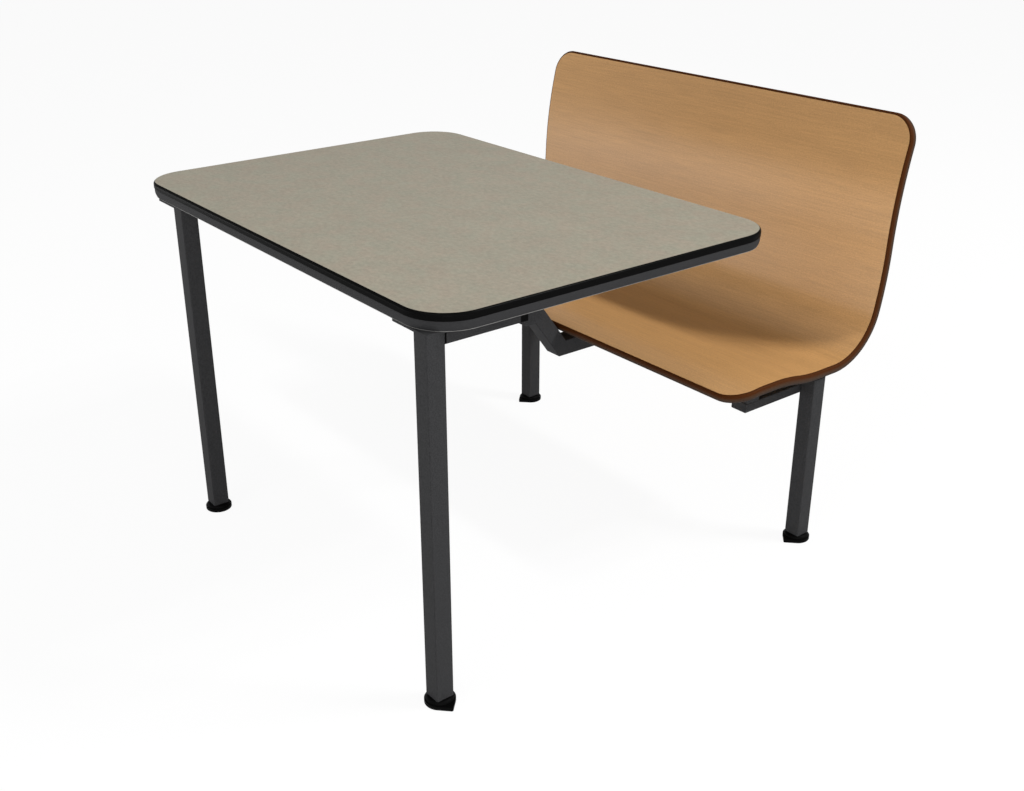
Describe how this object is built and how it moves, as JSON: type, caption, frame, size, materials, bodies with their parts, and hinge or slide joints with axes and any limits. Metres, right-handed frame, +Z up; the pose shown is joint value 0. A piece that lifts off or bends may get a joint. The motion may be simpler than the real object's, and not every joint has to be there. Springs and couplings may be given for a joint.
{
  "type": "table with attached bench",
  "caption": "Rectangular laminate table joined by a bent steel link beam to a contoured plywood bench, on a square-tube frame with levelling glides.",
  "frame": {"origin": "on the floor under the middle of the whole footprint of table and bench", "axes": "+X along the bench to the sitter's left, +Y from the table to the bench's back, +Z up"},
  "size_m": [1.086, 1.1704, 0.8793],
  "materials": {
    "laminate": "fine mottled, satin",
    "board": "raw particle board",
    "backer": "matt",
    "black_gloss": "gloss",
    "grey_band": "matt",
    "grey_steel": "fine textured powder coat",
    "black_plastic": "satin",
    "black_rubber": "matt",
    "zinc": "zinc plated",
    "maple": "clear coated maple",
    "ply_core": "dark stained ply edge"
  },
  "bodies": {
    "frame": {"tabletop_core": "board", "shell_core": "ply_core", "top_laminate": "laminate", "backer_sheet": "backer", "edge_roll": "black_gloss", "edge_band": "grey_band", "rail_plug_left": "black_plastic", "rail_block_left": "black_plastic", "bench_leg_cap_left": "black_plastic", "rail_plug_right": "black_plastic", "rail_block_right": "black_plastic", "bench_leg_cap_right": "black_plastic", "link_cross_tube": "grey_steel", "link_beam_lower": "grey_steel", "link_beam_slope": "grey_steel", "link_beam_upper": "grey_steel", "link_beam_cap": "grey_steel", "front_seat_tube": "grey_steel", "rear_seat_rail": "grey_steel", "table_leg_left": "grey_steel", "leg_plate_left": "grey_steel", "side_rail_left": "grey_steel", "cross_tube_cap_left": "grey_steel", "seat_arm_left": "grey_steel", "arm_front_cap_left": "grey_steel", "arm_rear_cap_left": "grey_steel", "bench_leg_left": "grey_steel", "seat_tube_cap_left": "grey_steel", "table_leg_right": "grey_steel", "leg_plate_right": "grey_steel", "side_rail_right": "grey_steel", "cross_tube_cap_right": "grey_steel", "seat_arm_right": "grey_steel", "arm_front_cap_right": "grey_steel", "arm_rear_cap_right": "grey_steel", "bench_leg_right": "grey_steel", "seat_tube_cap_right": "grey_steel", "rear_rail_pads": "black_rubber", "seat_inserts": "zinc", "front_seat_bolts": "zinc", "rear_seat_bolts": "zinc", "plate_screws": "zinc", "cross_tube_screws": "zinc", "shell_face_skin": "maple", "shell_back_skin": "maple", "leg_insert_table_left": "black_plastic", "leg_insert_table_right": "black_plastic", "leg_insert_bench_left": "black_plastic", "leg_insert_bench_right": "black_plastic"},
    "glide_table_left": {"glide_pad_table_left": "black_plastic", "glide_stem_table_left": "zinc"},
    "glide_table_right": {"glide_pad_table_right": "black_plastic", "glide_stem_table_right": "zinc"},
    "glide_bench_left": {"glide_pad_bench_left": "black_plastic", "glide_stem_bench_left": "zinc"},
    "glide_bench_right": {"glide_pad_bench_right": "black_plastic", "glide_stem_bench_right": "zinc"}
  },
  "joints": [
    {"name": "level_table_left", "type": "slide", "parent": "frame", "child": "glide_table_left", "axis": [0, 0, -1], "range_m": [0, 0.012]},
    {"name": "level_table_right", "type": "slide", "parent": "frame", "child": "glide_table_right", "axis": [0, 0, -1], "range_m": [0, 0.012]},
    {"name": "level_bench_left", "type": "slide", "parent": "frame", "child": "glide_bench_left", "axis": [0, 0, -1], "range_m": [0, 0.012]},
    {"name": "level_bench_right", "type": "slide", "parent": "frame", "child": "glide_bench_right", "axis": [0, 0, -1], "range_m": [0, 0.012]}
  ]
}
